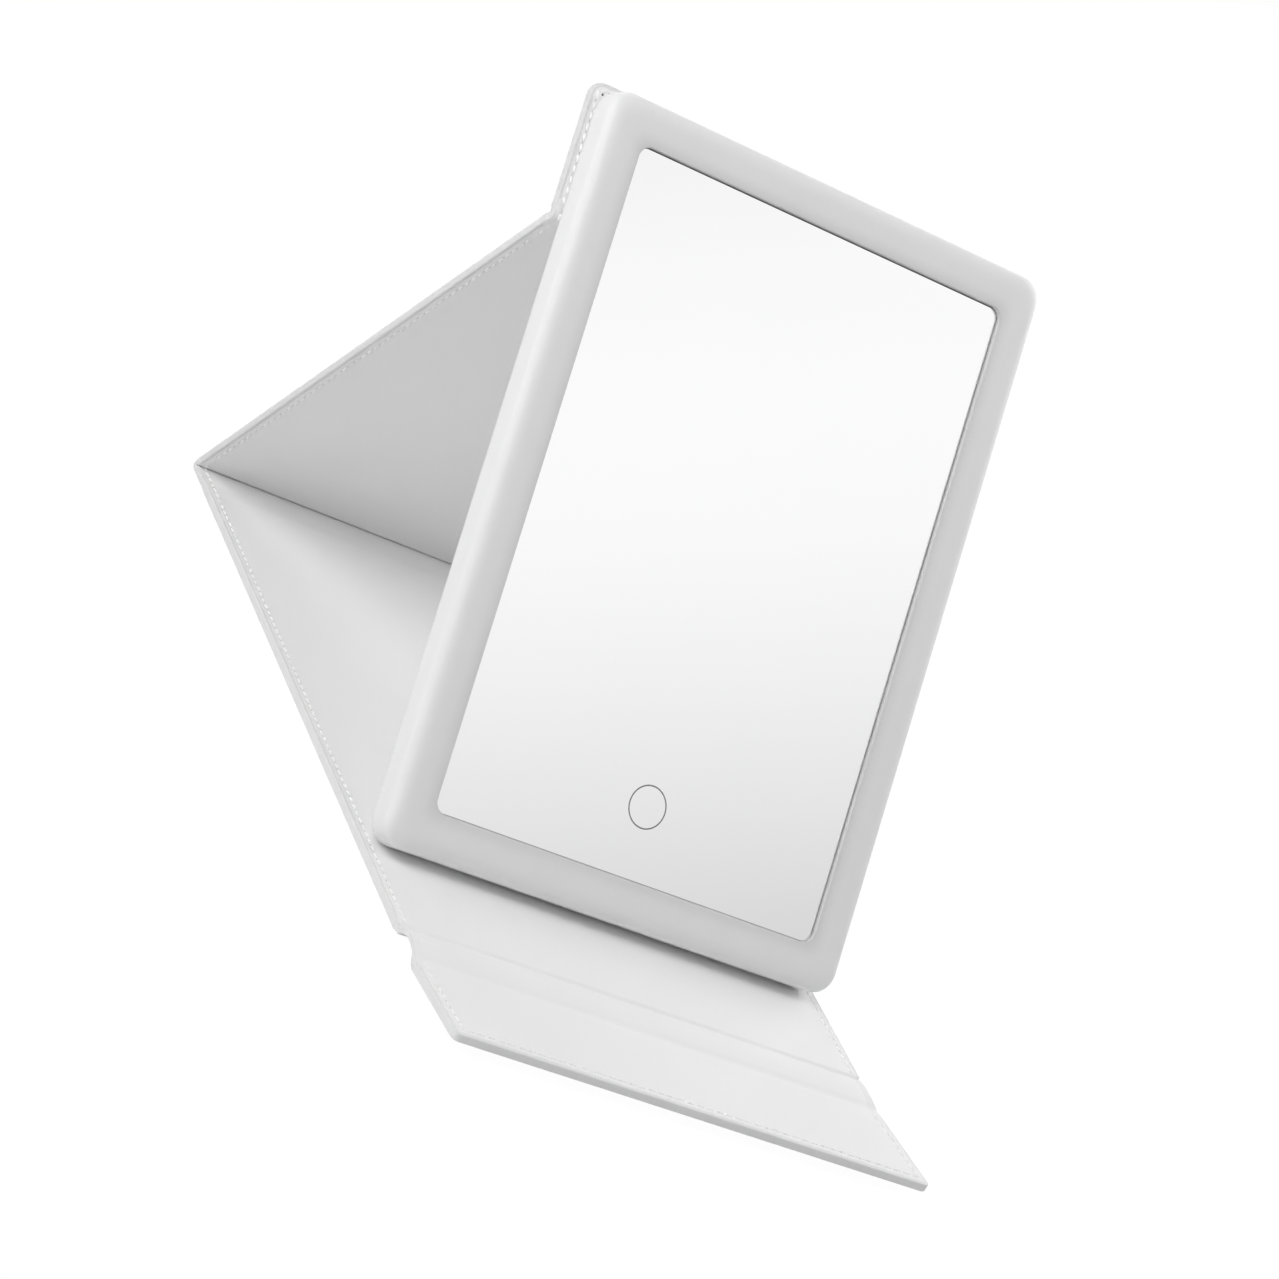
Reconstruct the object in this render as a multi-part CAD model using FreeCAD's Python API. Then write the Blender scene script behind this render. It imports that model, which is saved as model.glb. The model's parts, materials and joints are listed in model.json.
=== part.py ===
import FreeCAD, Part
import math
import os

# Lighted folding makeup mirror: a flat mirror body standing on a leather folio folded into a prop.
# Millimetres. +X to the right, +Y to the back, +Z up. The origin is on the table, at the middle
# of the underside of the base panel. The mirror faces -Y.

# Mirror body
BODY_WIDTH = 148.0
BODY_HEIGHT = 205.8
BODY_DEPTH = 11.7
BODY_CORNER = 6.5
FRONT_ROUND = 3.2
BACK_ROUND = 2.6
SIDE_WALL = 3.0
FRONT_WALL = 1.8
BEZEL = 11.6
OPENING_CORNER = 3.0
OPENING_WALL = 1.4
LIP_ROUND = 0.9
LEAN = 31.4

# Mirror glass and what it is bonded to
GLASS_RECESS = 1.6
GLASS_THICK = 2.0
GLASS_GAP = 0.3
TAPE_THICK = 0.3
TAPE_MARGIN = 0.8
SHELF_WIDTH = 6.0
SHELF_THICK = 1.4

# Touch control
RING_DIAMETER = 12.0
RING_LINE = 0.4
RING_DEPTH = 0.15
RING_ABOVE_OPENING = 20.0
ELECTRODE_DIAMETER = 15.0
ELECTRODE_THICK = 0.2
TOUCH_FOAM = 8.0

# Rear cover and its screws
REAR_PLATE = 1.6
COVER_CLEAR = 0.15
SCREW_SHANK = 1.9
SCREW_LENGTH = 5.0
SCREW_HEAD = 4.0
SCREW_HEAD_THICK = 0.8
SCREW_CLEAR = 0.1
BOSS_DIAMETER = 5.0
SCREW_FROM_OPENING = 3.0
SCREW_FROM_CORNER = 12.0

# Light ring
LED_BOARD_THICK = 1.0
LED_CLEAR = 0.4
LED_LIFT = 3.6
LED_LENGTH = 3.5
LED_WIDTH = 2.8
LED_HEIGHT = 0.8
LED_PITCH = 12.0
RIB_THICK = 2.4
RIB_LENGTH = 24.0
RIB_FROM_END = 72.0
RIB_FROM_SIDE = 42.0

# Charging socket, control board and battery
PORT_ABOVE_BOTTOM = 42.0
PORT_WIDTH = 8.9
PORT_HEIGHT = 3.2
PORT_LENGTH = 7.4
PORT_SHELL = 0.35
PORT_FLOOR = 1.0
PORT_SETBACK = 0.6
PORT_CLEAR = 0.2
TONGUE_WIDTH = 6.6
TONGUE_THICK = 0.7
TONGUE_LENGTH = 4.6
PCB_THICK = 0.8
PCB_LIFT = 1.3
PCB_HEIGHT = 30.0
PCB_BELOW_PORT = 15.0
PCB_PAST_FOAM = 5.0
POST_DIAMETER = 4.0
POST_INSET = 4.0
CONNECTOR_WIDTH = 1.8
CONNECTOR_LENGTH = 8.0
CONNECTOR_ABOVE_PORT = 10.0
CONTROLLER_WIDTH = 7.0
CONTROLLER_THICK = 1.0
DRIVER_WIDTH = 5.0
DRIVER_THICK = 1.2
COIL_WIDTH = 6.0
COIL_THICK = 1.5
BATTERY_WIDTH = 60.0
BATTERY_HEIGHT = 50.0
BATTERY_THICK = 3.6
BATTERY_CORNER = 2.0
BATTERY_PAD_THICK = 0.4
BATTERY_PAD_MARGIN = 4.0
BATTERY_ABOVE_PCB = 24.0
LEAD_DIAMETER = 1.0
LEAD_SPACING = 4.0
LEAD_ON_PCB = 6.0

# Leather folio
COVER_OVERHANG = 1.2
SKIN_THICK = 0.6
BOARD_THICK = 1.2
HEM = 1.0
HANGER_LENGTH = 34.4
HANGER_CORNER = 4.0
HANGER_ABOVE_BODY = 2.2
ADHESIVE_THICK = 0.4
ADHESIVE_MARGIN = 3.0
BASE_LENGTH = 207.6
REAR_SPINE = 15.8
TOP_SPINE = 17.5
FLAP_LENGTH = 32.0
FLAP_CORNER = 3.0
FLAP_LIFT = 5.3
FOLD_CORNER = 1.5
SPINE_INSET = 1.0
FOLD_INNER = 0.3
FOLD_LEG = 1.6
FOLD_GAP = 0.1
FOOT_GAP = 0.3
FOOT_TRIM = 1.0
MAGNET_DIAMETER = 10.0
MAGNET_CLEAR = 0.1
MAGNET_FROM_EDGE = 30.0

# Worked-out sizes of the mirror body, seen from its back (0) to its front
opening_width = BODY_WIDTH - 2 * BEZEL
opening_low = BEZEL
opening_high = BODY_HEIGHT - BEZEL
glass_front = BODY_DEPTH - GLASS_RECESS
glass_back = glass_front - GLASS_THICK
shelf_front = glass_back - TAPE_THICK
shelf_back = shelf_front - SHELF_THICK
pcb_back = REAR_PLATE + PCB_LIFT
pcb_front = pcb_back + PCB_THICK
led_board_back = REAR_PLATE + LED_LIFT
led_board_front = led_board_back + LED_BOARD_THICK
led_outer_half = BODY_WIDTH / 2 - SIDE_WALL - LED_CLEAR
led_inner_half = opening_width / 2 + OPENING_WALL + LED_CLEAR
led_edge = BODY_WIDTH / 2 - led_outer_half
led_band = led_outer_half - led_inner_half
ring_height = opening_low + RING_ABOVE_OPENING
port_depth = pcb_back + PCB_THICK / 2
port_mouth = BODY_WIDTH / 2 - PORT_SETBACK
pcb_right = port_mouth - PORT_LENGTH
pcb_left = -TOUCH_FOAM / 2 - PCB_PAST_FOAM
pcb_low = PORT_ABOVE_BOTTOM - PCB_BELOW_PORT
pcb_high = pcb_low + PCB_HEIGHT
battery_low = pcb_high + BATTERY_ABOVE_PCB
lead_middle = TOUCH_FOAM

# Worked-out sizes of the folio
panel_thick = 2 * SKIN_THICK + BOARD_THICK
strip_thick = 2 * SKIN_THICK
cover_width = BODY_WIDTH + 2 * COVER_OVERHANG
strip_width = cover_width - 2 * SPINE_INSET
fold_outer = FOLD_INNER + strip_thick
lean = math.radians(LEAN)


class Spot:
    """A point or direction in the YZ plane, with back and up parts."""

    def __init__(self, back, up):
        self.back = back
        self.up = up

    def step(self, direction, length):
        return Spot(self.back + direction.back * length, self.up + direction.up * length)

    def at(self, x):
        return FreeCAD.Vector(x, self.back, self.up)


mirror_up = Spot(math.sin(lean), math.cos(lean))
mirror_front = Spot(-math.cos(lean), math.sin(lean))

# The rear fold lies one rear spine behind the base board, and the mirror's foot slides on the base:
# both legs of the prop are about as long as each other, so the foot keeps its height.
rear_axis = Spot(BASE_LENGTH / 2 + REAR_SPINE, fold_outer)
hanger_low = BODY_HEIGHT - HANGER_LENGTH
hanger_back = -ADHESIVE_THICK - panel_thick
hanger_axis_depth = hanger_back - FOLD_INNER
foot_to_axis = Spot(0, 0).step(mirror_up, hanger_low - BACK_ROUND)
foot_to_axis = foot_to_axis.step(mirror_front, hanger_axis_depth - BACK_ROUND)
foot_height = panel_thick + FOOT_GAP + BACK_ROUND
strut_run = foot_to_axis.back + FOOT_TRIM
strut_rise = foot_height + foot_to_axis.up - rear_axis.up
strut_reach = math.hypot(strut_run, strut_rise)
fold_offset = fold_outer + FOLD_INNER
strut_length = math.sqrt(strut_reach ** 2 - fold_offset ** 2)
strut_angle = math.atan2(strut_rise, strut_run) - math.asin(fold_offset / strut_reach)
strut_up = Spot(-math.cos(strut_angle), math.sin(strut_angle))
strut_inside = Spot(-math.sin(strut_angle), -math.cos(strut_angle))
hanger_axis = Spot(rear_axis.back - strut_run, rear_axis.up + strut_rise)
foot = Spot(hanger_axis.back - foot_to_axis.back, foot_height)
body_origin = foot.step(mirror_up, -BACK_ROUND).step(mirror_front, -BACK_ROUND)

base_axis = Spot(-BASE_LENGTH / 2 - FOLD_LEG, fold_outer)
flap_axis = Spot(-BASE_LENGTH / 2 - TOP_SPINE + FOLD_LEG, fold_outer)
flap_lift = math.radians(FLAP_LIFT)
flap_forward = Spot(-math.cos(flap_lift), math.sin(flap_lift))
flap_outside = Spot(-math.sin(flap_lift), -math.cos(flap_lift))
DOWN = Spot(0, -1)
FORWARD = Spot(-1, 0)

TURN_AXIS = FreeCAD.Vector(1, 0, 0)
MIRROR_FRAME = FreeCAD.Placement(body_origin.at(0), FreeCAD.Rotation(TURN_AXIS, 90 - LEAN))
STRUT_FRAME = FreeCAD.Placement(
    rear_axis.at(0), FreeCAD.Rotation(TURN_AXIS, 180 - math.degrees(strut_angle)))
FLAP_FRAME = FreeCAD.Placement(flap_axis.at(0), FreeCAD.Rotation(TURN_AXIS, -FLAP_LIFT))
BASE_FRAME = FreeCAD.Placement()

nodes = {}


def add(name, shape, frame=BASE_FRAME):
    """Keep a finished node, moved from its panel's or the mirror's own frame into place."""
    placed = shape.copy()
    placed.Placement = frame.multiply(placed.Placement)
    nodes[name] = placed


def rounded_outline(width, low, high, low_radius, high_radius):
    """A face centred on x = 0 from low to high, with its own corner radius at each end."""
    half = width / 2
    corners = (
        (half, low, low_radius, -90),
        (half, high, high_radius, 0),
        (-half, high, high_radius, 90),
        (-half, low, low_radius, 180),
    )
    edges = []
    ends = []
    for x, y, radius, start in corners:
        centre_x = x - math.copysign(radius, x)
        centre_y = y + radius if y == low else y - radius
        points = []
        for turn in (0, 45, 90):
            angle = math.radians(start + turn)
            points.append(FreeCAD.Vector(
                centre_x + radius * math.cos(angle), centre_y + radius * math.sin(angle), 0))
        ends.append((points[0], points[2]))
        edges.append(Part.Arc(*points).toShape())
    for index, (first, last) in enumerate(ends):
        next_first = ends[(index + 1) % len(ends)][0]
        edges.append(Part.LineSegment(last, next_first).toShape())
    return Part.Face(Part.Wire(Part.__sortEdges__(edges)))


def slab(outline, back, front):
    """An outline pulled from one depth to another."""
    lifted = outline.copy()
    lifted.translate(FreeCAD.Vector(0, 0, back))
    return lifted.extrude(FreeCAD.Vector(0, 0, front - back))


def block(left, right, low, high, back, front):
    corner = FreeCAD.Vector(left, low, back)
    return Part.makeBox(right - left, high - low, front - back, corner)


def disc(x, y, diameter, back, front):
    return Part.makeCylinder(diameter / 2, front - back, FreeCAD.Vector(x, y, back))


def join(shapes):
    return shapes[0].multiFuse(shapes[1:]).removeSplitter()


def edges_at(shape, depth, half_width):
    """Edges that lie wholly at one depth, no further from the middle than half_width."""
    tolerance = 1e-6
    found = []
    for edge in shape.Edges:
        box = edge.BoundBox
        flat = abs(box.ZMin - depth) < tolerance and abs(box.ZMax - depth) < tolerance
        if flat and max(abs(box.XMin), abs(box.XMax)) < half_width + tolerance:
            found.append(edge)
    return found


def body_outline(inset):
    """The mirror body's outline, drawn in by an inset."""
    radius = BODY_CORNER - min(inset, BODY_CORNER / 2)
    return rounded_outline(BODY_WIDTH - 2 * inset, inset, BODY_HEIGHT - inset, radius, radius)


def opening_outline(growth):
    """The mirror opening's outline, drawn out by a growth, or in by a negative one."""
    radius = max(OPENING_CORNER + growth, OPENING_CORNER / 2)
    return rounded_outline(
        opening_width + 2 * growth, opening_low - growth, opening_high + growth, radius, radius)


def screw_places():
    """Middles of the case screws, under the shelf on both sides of the opening."""
    across = opening_width / 2 - SCREW_FROM_OPENING
    heights = (
        opening_low + SCREW_FROM_CORNER,
        (opening_low + opening_high) / 2,
        opening_high - SCREW_FROM_CORNER,
    )
    return [(side * across, height) for side in (-1, 1) for height in heights]


def socket_section(growth, near, far):
    """A lozenge with round ends, pulled along X from near to far, for the charging socket."""
    radius = PORT_HEIGHT / 2 + growth
    reach = PORT_WIDTH / 2 - PORT_HEIGHT / 2
    side = FreeCAD.Vector(1, 0, 0)
    ends = []
    for sign in (-1, 1):
        middle = FreeCAD.Vector(near, PORT_ABOVE_BOTTOM + sign * reach, port_depth)
        ends.append(Part.makeCylinder(radius, far - near, middle, side))
    between = block(
        near, far, PORT_ABOVE_BOTTOM - reach, PORT_ABOVE_BOTTOM + reach,
        port_depth - radius, port_depth + radius)
    return join([between] + ends)


def make_diffuser_frame():
    shell = slab(body_outline(0), 0, BODY_DEPTH)
    shell = shell.makeFillet(FRONT_ROUND, edges_at(shell, BODY_DEPTH, BODY_WIDTH / 2))
    shell = shell.makeFillet(BACK_ROUND, edges_at(shell, 0, BODY_WIDTH / 2))
    shell = shell.cut(slab(body_outline(SIDE_WALL), -1, BODY_DEPTH - FRONT_WALL))
    shell = shell.cut(slab(opening_outline(0), 0, BODY_DEPTH + 1))
    shell = shell.makeFillet(LIP_ROUND, edges_at(shell, BODY_DEPTH, opening_width / 2))
    well = slab(opening_outline(OPENING_WALL), shelf_back, BODY_DEPTH - FRONT_WALL)
    well = well.cut(slab(opening_outline(0), shelf_front, BODY_DEPTH))
    well = well.cut(slab(opening_outline(-SHELF_WIDTH), shelf_back - 1, BODY_DEPTH))
    bosses = [disc(x, y, BOSS_DIAMETER, REAR_PLATE, shelf_back) for x, y in screw_places()]
    frame = join([shell, well] + bosses)
    for x, y in screw_places():
        hole = SCREW_SHANK + SCREW_CLEAR
        frame = frame.cut(disc(x, y, hole, REAR_PLATE, SCREW_HEAD_THICK + SCREW_LENGTH))
    mouth = socket_section(PORT_CLEAR, BODY_WIDTH / 2 - SIDE_WALL - 1, BODY_WIDTH / 2 + 1)
    return frame.cut(mouth)


def make_mirror_glass():
    glass = slab(opening_outline(-GLASS_GAP), glass_back, glass_front)
    return glass.cut(make_touch_ring())


def make_touch_ring():
    outer = disc(0, ring_height, RING_DIAMETER, glass_front - RING_DEPTH, glass_front)
    inner = disc(0, ring_height, RING_DIAMETER - 2 * RING_LINE, glass_front - 1, glass_front + 1)
    return outer.cut(inner)


def make_glass_tape():
    outer = slab(opening_outline(-TAPE_MARGIN), shelf_front, glass_back)
    inner = slab(opening_outline(TAPE_MARGIN - SHELF_WIDTH), shelf_front - 1, glass_back + 1)
    return outer.cut(inner)


def led_ribs():
    """Short ribs on the rear cover that carry the light board."""
    middle = (led_outer_half + led_inner_half) / 2
    edge = BODY_WIDTH / 2 - middle
    half = RIB_LENGTH / 2
    ribs = []
    for side in (-1, 1):
        x = side * middle
        for y in (RIB_FROM_END, BODY_HEIGHT - RIB_FROM_END):
            ribs.append(block(x - RIB_THICK / 2, x + RIB_THICK / 2, y - half, y + half,
                              REAR_PLATE, led_board_back))
        x = side * (BODY_WIDTH / 2 - RIB_FROM_SIDE)
        for y in (edge, BODY_HEIGHT - edge):
            ribs.append(block(x - half, x + half, y - RIB_THICK / 2, y + RIB_THICK / 2,
                              REAR_PLATE, led_board_back))
    return ribs


def board_posts():
    """Posts on the rear cover under the corners of the control board."""
    posts = []
    for x in (pcb_left + POST_INSET, pcb_right - POST_INSET):
        for y in (pcb_low + POST_INSET, pcb_high - POST_INSET):
            posts.append(disc(x, y, POST_DIAMETER, REAR_PLATE, pcb_back))
    return posts


def make_rear_cover():
    plate = slab(body_outline(SIDE_WALL + COVER_CLEAR), 0, REAR_PLATE)
    cover = join([plate] + led_ribs() + board_posts())
    for x, y in screw_places():
        cover = cover.cut(disc(x, y, SCREW_SHANK + 2 * SCREW_CLEAR, -1, REAR_PLATE + 1))
        cover = cover.cut(disc(x, y, SCREW_HEAD + 2 * SCREW_CLEAR, -1, SCREW_HEAD_THICK))
    return cover


def make_case_screws():
    screws = []
    for x, y in screw_places():
        head = disc(x, y, SCREW_HEAD, 0, SCREW_HEAD_THICK)
        shank = disc(x, y, SCREW_SHANK, SCREW_HEAD_THICK, SCREW_LENGTH)
        screws.append(head.fuse(shank))
    return Part.makeCompound(screws)


def make_led_board():
    outer = slab(body_outline(led_edge), led_board_back, led_board_front)
    inner = slab(body_outline(led_edge + led_band), led_board_back - 1, led_board_front + 1)
    return outer.cut(inner)


def led_steps(length):
    """Evenly spaced places along a run of the light board, measured from its middle."""
    count = int(length // LED_PITCH) + 1
    return [(index - (count - 1) / 2) * LED_PITCH for index in range(count)]


def make_leds():
    middle = (led_outer_half + led_inner_half) / 2
    edge = BODY_WIDTH / 2 - middle
    back = led_board_front
    front = led_board_front + LED_HEIGHT
    lamps = []
    for side in (-1, 1):
        x = side * middle
        for step in led_steps(BODY_HEIGHT - 2 * edge - 2 * LED_PITCH):
            y = BODY_HEIGHT / 2 + step
            lamps.append(block(x - LED_WIDTH / 2, x + LED_WIDTH / 2,
                               y - LED_LENGTH / 2, y + LED_LENGTH / 2, back, front))
    for y in (edge, BODY_HEIGHT - edge):
        for x in led_steps(2 * middle - 2 * LED_PITCH):
            lamps.append(block(x - LED_LENGTH / 2, x + LED_LENGTH / 2,
                               y - LED_WIDTH / 2, y + LED_WIDTH / 2, back, front))
    return Part.makeCompound(lamps)


def make_led_connector():
    low = PORT_ABOVE_BOTTOM + CONNECTOR_ABOVE_PORT - CONNECTOR_LENGTH / 2
    return block(pcb_right - CONNECTOR_WIDTH, pcb_right, low, low + CONNECTOR_LENGTH,
                 pcb_front, led_board_back)


def make_board_chips():
    """Three square chips in a row, evenly spaced between the touch foam and the connector."""
    sizes = (
        (CONTROLLER_WIDTH, CONTROLLER_THICK),
        (DRIVER_WIDTH, DRIVER_THICK),
        (COIL_WIDTH, COIL_THICK),
    )
    left = TOUCH_FOAM / 2
    pitch = (pcb_right - CONNECTOR_WIDTH - left) / (len(sizes) + 1)
    y = (pcb_low + pcb_high) / 2
    chips = []
    for index, (width, thick) in enumerate(sizes):
        x = left + (index + 1) * pitch
        half = width / 2
        chips.append(block(x - half, x + half, y - half, y + half, pcb_front, pcb_front + thick))
    return Part.makeCompound(chips)


def make_charge_port():
    shell = socket_section(0, pcb_right, port_mouth)
    hollow = socket_section(-PORT_SHELL, pcb_right + PORT_FLOOR, port_mouth + 1)
    return shell.cut(hollow)


def make_port_tongue():
    near = pcb_right + PORT_FLOOR
    return block(near, near + TONGUE_LENGTH,
                 PORT_ABOVE_BOTTOM - TONGUE_WIDTH / 2, PORT_ABOVE_BOTTOM + TONGUE_WIDTH / 2,
                 port_depth - TONGUE_THICK / 2, port_depth + TONGUE_THICK / 2)


def battery_outline(inset):
    return rounded_outline(
        BATTERY_WIDTH - 2 * inset, battery_low + inset, battery_low + BATTERY_HEIGHT - inset,
        BATTERY_CORNER, BATTERY_CORNER)


def make_battery_leads():
    """Two wires from the cell's lower end to the control board, which they lie on."""
    depth = pcb_front + LEAD_DIAMETER / 2
    low = pcb_high - LEAD_ON_PCB
    leads = []
    for side in (-1, 1):
        start = FreeCAD.Vector(lead_middle + side * LEAD_SPACING / 2, low, depth)
        leads.append(Part.makeCylinder(
            LEAD_DIAMETER / 2, battery_low - low, start, FreeCAD.Vector(0, 1, 0)))
    return Part.makeCompound(leads)


def add_mirror_unit():
    electrode_back = glass_back - ELECTRODE_THICK
    foam = TOUCH_FOAM / 2
    pad_front = REAR_PLATE + BATTERY_PAD_THICK
    pieces = {
        "diffuser_frame": make_diffuser_frame(),
        "mirror_glass": make_mirror_glass(),
        "touch_ring": make_touch_ring(),
        "glass_tape": make_glass_tape(),
        "touch_electrode": disc(0, ring_height, ELECTRODE_DIAMETER, electrode_back, glass_back),
        "touch_foam": block(-foam, foam, ring_height - foam, ring_height + foam,
                            pcb_front, electrode_back),
        "rear_cover": make_rear_cover(),
        "case_screws": make_case_screws(),
        "led_board": make_led_board(),
        "leds": make_leds(),
        "led_connector": make_led_connector(),
        "control_board": block(pcb_left, pcb_right, pcb_low, pcb_high, pcb_back, pcb_front),
        "board_chips": make_board_chips(),
        "charge_port": make_charge_port(),
        "charge_port_tongue": make_port_tongue(),
        "battery_pad": slab(battery_outline(BATTERY_PAD_MARGIN), REAR_PLATE, pad_front),
        "battery_cell": slab(battery_outline(0), pad_front, pad_front + BATTERY_THICK),
        "battery_leads": make_battery_leads(),
    }
    for name, shape in pieces.items():
        add(name, shape, MIRROR_FRAME)


def add_panel(name, low, high, low_radius, high_radius, outside, frame, pockets=()):
    """A stiff folio panel: an outer skin turned up round its edge, a board and an inner lining."""
    inside = outside + panel_thick
    board_back = outside + SKIN_THICK
    board_front = board_back + BOARD_THICK
    full = rounded_outline(cover_width, low, high, low_radius, high_radius)
    core = rounded_outline(cover_width - 2 * HEM, low + HEM, high - HEM, low_radius, high_radius)
    board = slab(core, board_back, board_front)
    for x, y, diameter in pockets:
        board = board.cut(disc(x, y, diameter, board_back - 1, board_front + 1))
    add(name + "_skin", slab(full, outside, inside).cut(slab(core, board_back, inside + 1)), frame)
    add(name + "_board", board, frame)
    add(name + "_lining", slab(core, board_front, inside), frame)


def add_magnets(name, height, outside, frame):
    """A pair of discs as thick as the board that they sit in."""
    back = outside + SKIN_THICK
    across = cover_width / 2 - MAGNET_FROM_EDGE
    discs = [disc(side * across, height, MAGNET_DIAMETER, back, back + BOARD_THICK)
             for side in (-1, 1)]
    add(name, Part.makeCompound(discs), frame)


def magnet_pockets(height):
    across = cover_width / 2 - MAGNET_FROM_EDGE
    return [(side * across, height, MAGNET_DIAMETER + 2 * MAGNET_CLEAR) for side in (-1, 1)]


def add_strip(name, back, front):
    """A soft spine lying on the table between two folds: an outer skin and an inner lining."""
    half = strip_width / 2
    add(name + "_skin", block(-half, half, front, back, 0, SKIN_THICK))
    add(name + "_lining", block(-half, half, front, back, SKIN_THICK, strip_thick))


def add_fold(name, axis, first_way, first_out, first_length, last_way, last_out, last_length):
    """Leather bent round a fold's axis, with a flat leg along each of the two panels."""
    middle = Spot(first_out.back + last_out.back, first_out.up + last_out.up)
    size = math.hypot(middle.back, middle.up)
    middle = Spot(middle.back / size, middle.up / size)
    left = -strip_width / 2

    def leg(out, way, length, radius):
        near = axis.step(out, radius)
        return near.at(left), near.step(way, length).at(left)

    first_near, first_far = leg(first_out, first_way, first_length, fold_outer)
    last_near, last_far = leg(last_out, last_way, last_length, fold_outer)
    inner_first_near, inner_first_far = leg(first_out, first_way, first_length, FOLD_INNER)
    inner_last_near, inner_last_far = leg(last_out, last_way, last_length, FOLD_INNER)
    edges = [
        Part.LineSegment(first_far, first_near),
        Part.Arc(first_near, axis.step(middle, fold_outer).at(left), last_near),
        Part.LineSegment(last_near, last_far),
        Part.LineSegment(last_far, inner_last_far),
        Part.LineSegment(inner_last_far, inner_last_near),
        Part.Arc(inner_last_near, axis.step(middle, FOLD_INNER).at(left), inner_first_near),
        Part.LineSegment(inner_first_near, inner_first_far),
        Part.LineSegment(inner_first_far, first_far),
    ]
    profile = Part.Face(Part.Wire([edge.toShape() for edge in edges]))
    add(name, profile.extrude(FreeCAD.Vector(strip_width, 0, 0)))


def add_flat_fold(name, back, front):
    """Leather that lies flat across a fold, from the base panel to the spine in front of it."""
    half = strip_width / 2
    add(name, block(-half, half, front, back, 0, strip_thick))


def add_folio():
    moving_leg = FOLD_LEG - FOLD_GAP
    hanger_edge = hanger_low + FOLD_LEG
    hanger_top = BODY_HEIGHT + HANGER_ABOVE_BODY
    hanger_middle = (hanger_edge + hanger_top) / 2
    add_panel("hanger", hanger_edge, hanger_top, FOLD_CORNER, HANGER_CORNER, hanger_back,
              MIRROR_FRAME, magnet_pockets(hanger_middle))
    add_magnets("catch_plates", hanger_middle, hanger_back, MIRROR_FRAME)
    glue = rounded_outline(cover_width - 2 * (COVER_OVERHANG + SIDE_WALL + ADHESIVE_MARGIN),
                           hanger_edge + ADHESIVE_MARGIN,
                           BODY_HEIGHT - SIDE_WALL - ADHESIVE_MARGIN, FOLD_CORNER, FOLD_CORNER)
    add("hanger_adhesive", slab(glue, -ADHESIVE_THICK, 0), MIRROR_FRAME)

    add_panel("strut", FOLD_LEG, strut_length - FOLD_LEG, FOLD_CORNER, FOLD_CORNER,
              -fold_outer, STRUT_FRAME)
    add_panel("base", -BASE_LENGTH / 2, BASE_LENGTH / 2, FOLD_CORNER, FOLD_CORNER, 0, BASE_FRAME)
    flap_low = -FOLD_LEG - FLAP_LENGTH
    flap_middle = -FOLD_LEG - FLAP_LENGTH / 2
    add_panel("flap", flap_low, -FOLD_LEG, FLAP_CORNER, FOLD_CORNER, -fold_outer, FLAP_FRAME,
              magnet_pockets(flap_middle))
    add_magnets("flap_magnets", flap_middle, -fold_outer, FLAP_FRAME)

    add_strip("rear_spine", rear_axis.back - FOLD_LEG, BASE_LENGTH / 2)
    add_strip("top_spine", base_axis.back - FOLD_LEG, flap_axis.back + FOLD_LEG)

    strut_down = Spot(-strut_up.back, -strut_up.up)
    strut_outside = Spot(-strut_inside.back, -strut_inside.up)
    add_fold("hanger_fold_leather", hanger_axis, mirror_up, mirror_front, FOLD_LEG,
             strut_down, strut_inside, moving_leg)
    add_fold("rear_fold_leather", rear_axis, FORWARD, DOWN, FOLD_LEG, strut_up, strut_outside, moving_leg)
    add_flat_fold("base_fold_leather", -BASE_LENGTH / 2, base_axis.back - moving_leg)
    add_fold("flap_fold_leather", flap_axis, Spot(1, 0), DOWN, FOLD_LEG,
             flap_forward, flap_outside, moving_leg)


def main():
    os.makedirs("parts", exist_ok=True)
    add_mirror_unit()
    add_folio()
    for name, shape in nodes.items():
        assert shape.isValid(), name
        shape.exportStep(os.path.join("parts", name + ".step"))
    print(len(nodes), "nodes")
    print("strut angle %.3f, strut length %.2f" % (math.degrees(strut_angle), strut_length))
    for name, axis in (("rear", rear_axis), ("hanger", hanger_axis),
                       ("base", base_axis), ("flap", flap_axis)):
        print("%s fold axis: y %.4f, z %.4f" % (name, axis.back, axis.up))


main()
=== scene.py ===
import json
import math

import bmesh
import bpy
from mathutils import Matrix, Vector, noise


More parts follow.
